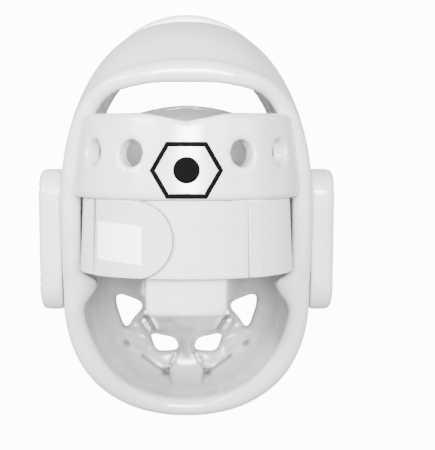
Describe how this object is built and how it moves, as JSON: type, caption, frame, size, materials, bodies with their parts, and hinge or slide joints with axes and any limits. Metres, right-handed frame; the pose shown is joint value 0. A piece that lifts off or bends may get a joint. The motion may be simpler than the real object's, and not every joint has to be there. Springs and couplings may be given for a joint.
{
  "type": "karate head guard",
  "caption": "Full-face head guard of white dipped foam with ear pads, crown pad, vented back band, nape pad and elastic hook-and-loop closure, lying on its face.",
  "frame": {"origin": "middle of the bounding box's bottom face: the floor under the guard as it lies on its face", "axes": "+Y from chin to crown, +Z from the face to the back of the head, +X to the right when it is seen from behind"},
  "size_m": [0.21, 0.3021, 0.228],
  "materials": {
    "dipped_foam": "smooth dipped vinyl skin over closed-cell foam, satin to gloss",
    "elastic": "white ribbed elastic webbing",
    "loop_fabric": "white brushed loop",
    "hook_fabric": "white woven back of the hook tab",
    "label": "blank white satin label"
  },
  "bodies": {
    "root": {"foam_shell": "dipped_foam", "crown_pad": "dipped_foam", "ear_pad_left": "dipped_foam", "ear_pad_right": "dipped_foam", "back_band": "dipped_foam", "nape_pad": "dipped_foam", "elastic_left": "elastic", "elastic_right": "elastic", "loop_panel": "loop_fabric", "hook_tab": "hook_fabric", "care_label": "label"}
  },
  "joints": []
}
